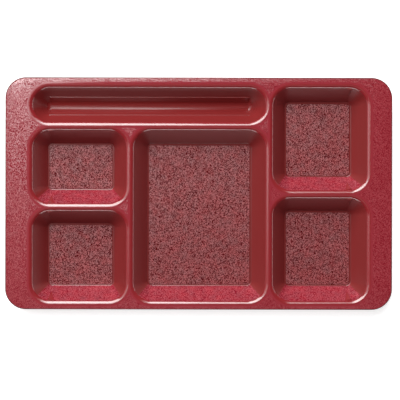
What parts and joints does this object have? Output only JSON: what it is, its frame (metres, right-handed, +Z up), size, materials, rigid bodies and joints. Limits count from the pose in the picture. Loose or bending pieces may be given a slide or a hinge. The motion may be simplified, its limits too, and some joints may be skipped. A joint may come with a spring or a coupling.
{
  "type": "compartment tray",
  "caption": "One-piece moulded plastic serving tray with a long cutlery trough and rounded rectangular food pockets sunk in a flat rim",
  "frame": {"origin": "the middle of the tray's outline, on the table that it rests on", "axes": "+X runs along the tray's length towards the pair of square pockets, +Y towards the cutlery trough, +Z up out of the pockets"},
  "size_m": [0.381, 0.2286, 0.0214],
  "materials": {
    "cranberry_plastic": "satin, fine grain on the rim and pocket floors, smooth lips and trough"
  },
  "bodies": {
    "root": {"moulded_tray": "cranberry_plastic"}
  },
  "joints": []
}
